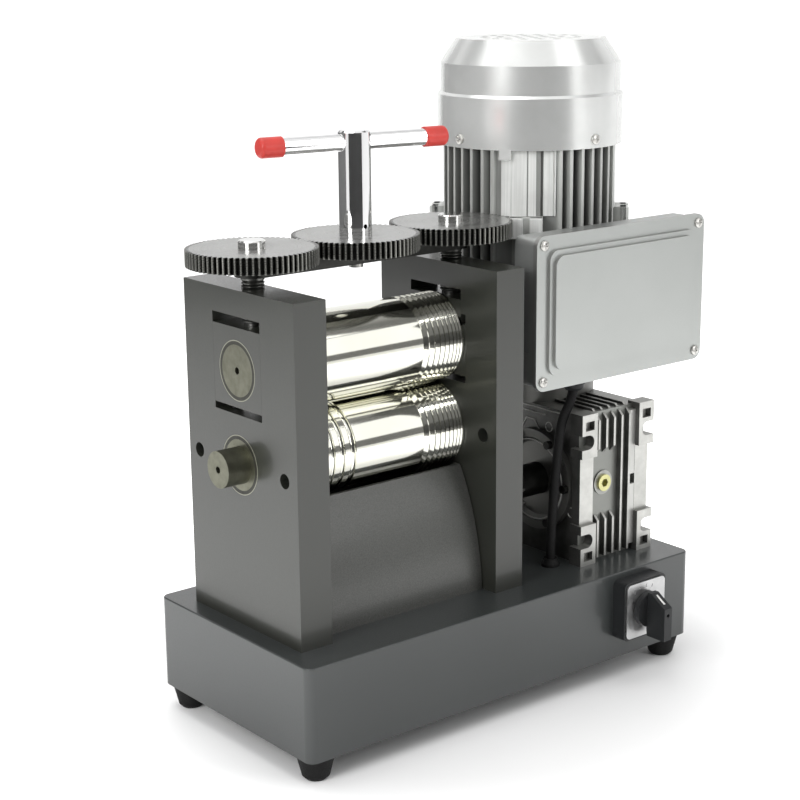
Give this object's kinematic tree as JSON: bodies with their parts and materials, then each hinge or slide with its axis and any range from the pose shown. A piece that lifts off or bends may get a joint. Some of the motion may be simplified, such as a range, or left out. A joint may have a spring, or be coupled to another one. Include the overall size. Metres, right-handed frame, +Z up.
{
  "type": "jewellers rolling mill",
  "caption": "Bench rolling mill for jewellers: grooved rollers between steel cheeks on a box base, turned by an upright motor and worm gearbox, gap set by a T-handle and spur gears.",
  "frame": {"origin": "on the ground under the middle of the overall footprint", "axes": "+X along the rollers towards the gearbox, +Y from the feed side to the back, +Z up"},
  "size_m": [0.4232, 0.2378, 0.4769],
  "materials": {
    "dark_paint": "gloss",
    "hammertone": "hammered",
    "rubber": "matt",
    "zinc_steel": "bright",
    "roller_steel": "polished",
    "bush_steel": "oiled",
    "spring_steel": "plain",
    "black_steel": "oiled black",
    "chrome": "polished",
    "red_rubber": "satin",
    "die_cast": "satin",
    "brass": "satin",
    "bearing_steel": "ground",
    "laminations": "plain",
    "cowl_steel": "silver",
    "black_plastic": "satin",
    "cable_sheath": "matt",
    "silver_plate": "satin"
  },
  "bodies": {
    "frame": {"base_grommets": "rubber", "base_housing": "dark_paint", "base_plate": "dark_paint", "cable_gland": "zinc_steel", "cover_bolts": "zinc_steel", "cowl_screws": "zinc_steel", "fan_cowl": "cowl_steel", "flange_bolts": "zinc_steel", "foot_screws": "zinc_steel", "frame_screws": "zinc_steel", "front_guard": "hammertone", "gearbox_housing": "die_cast", "guard_screws": "zinc_steel", "left_cheek": "dark_paint", "lift_springs": "spring_steel", "lower_bushes": "bush_steel", "motor_adapter": "die_cast", "motor_cable": "cable_sheath", "motor_drive_shield": "die_cast", "motor_frame": "die_cast", "motor_rear_shield": "die_cast", "oil_plug": "brass", "output_bearings": "bearing_steel", "output_cover": "black_steel", "rear_guard": "hammertone", "right_cheek": "dark_paint", "rubber_feet": "rubber", "shaft_bearings": "bearing_steel", "stator": "laminations", "switch_body": "black_plastic", "switch_plate": "silver_plate", "terminal_box": "die_cast", "terminal_cover": "die_cast", "terminal_cover_screws": "zinc_steel", "terminal_gasket": "black_plastic"},
    "screw_carriage": {"link_strap": "black_steel"},
    "left_screw": {"left_adjusting_screw": "black_steel", "left_adjusting_gear": "black_steel", "left_cap_nut": "chrome"},
    "right_screw": {"right_adjusting_screw": "black_steel", "right_adjusting_gear": "black_steel", "right_cap_nut": "chrome"},
    "handle": {"centre_gear": "black_steel", "handle_post": "chrome", "handle_bar": "chrome", "handle_grips": "red_rubber", "strap_retainer": "zinc_steel"},
    "upper_chocks": {"roller_chocks": "dark_paint", "upper_bushes": "bush_steel"},
    "upper_roll": {"upper_roller": "roller_steel", "upper_roller_gear": "black_steel"},
    "lower_roll": {"lower_roller": "roller_steel", "lower_roller_gear": "black_steel"},
    "output_train": {"output_shaft": "black_steel", "worm_wheel": "brass", "drive_pinion": "black_steel"},
    "motor_train": {"motor_rotor": "laminations", "worm": "black_steel", "cooling_fan": "black_plastic"},
    "knob": {"switch_knob": "black_plastic"}
  },
  "joints": [
    {"name": "carriage_lift", "type": "slide", "parent": "frame", "child": "screw_carriage", "axis": [0, 0, 1], "range_m": [-0.0008, 0.005]},
    {"name": "handle_turn", "type": "hinge", "parent": "screw_carriage", "child": "handle", "pos_m": [-0.0791, 0.01255, 0.345], "axis": [0, 0, 1], "range_deg": [-905, 150]},
    {"name": "left_screw_turn", "type": "hinge", "parent": "screw_carriage", "child": "left_screw", "pos_m": [-0.1666, 0.01255, 0.345], "axis": [0, 0, 1], "range_deg": [-150, 905]},
    {"name": "right_screw_turn", "type": "hinge", "parent": "screw_carriage", "child": "right_screw", "pos_m": [0.0084, 0.01255, 0.345], "axis": [0, 0, 1], "range_deg": [-150, 905]},
    {"name": "chock_lift", "type": "slide", "parent": "frame", "child": "upper_chocks", "axis": [0, 0, 1], "range_m": [-0.00085, 0.00505], "stiffness_N_per_m": 4000, "springref_m": 0.019, "deforming": ["lift_springs"]},
    {"name": "upper_roller_spin", "type": "hinge", "parent": "upper_chocks", "child": "upper_roll", "pos_m": [-0.0811, 0.01255, 0.2683], "axis": [1, 0, 0], "continuous": true},
    {"name": "lower_roller_spin", "type": "hinge", "parent": "frame", "child": "lower_roll", "pos_m": [-0.0811, 0.01255, 0.2022], "axis": [1, 0, 0], "continuous": true},
    {"name": "output_spin", "type": "hinge", "parent": "frame", "child": "output_train", "pos_m": [0.1182, -0.00175, 0.14393], "axis": [1, 0, 0], "continuous": true},
    {"name": "motor_spin", "type": "hinge", "parent": "frame", "child": "motor_train", "pos_m": [0.1182, 0.04675, 0.3], "axis": [0, 0, 1], "continuous": true},
    {"name": "switch_turn", "type": "hinge", "parent": "frame", "child": "knob", "pos_m": [0.11, -0.1, 0.0573], "axis": [0, -1, 0], "range_deg": [-45, 45]}
  ],
  "couplings": [
    {"joint": "handle_turn", "follows": "carriage_lift", "rad_per_m": -3141.6},
    {"joint": "left_screw_turn", "follows": "carriage_lift", "rad_per_m": 3141.6},
    {"joint": "right_screw_turn", "follows": "carriage_lift", "rad_per_m": 3141.6},
    {"joint": "chock_lift", "follows": "carriage_lift", "ratio": 1},
    {"joint": "output_spin", "follows": "motor_spin", "ratio": 0.02},
    {"joint": "lower_roller_spin", "follows": "motor_spin", "ratio": -0.016364},
    {"joint": "upper_roller_spin", "follows": "motor_spin", "ratio": 0.016364}
  ]
}
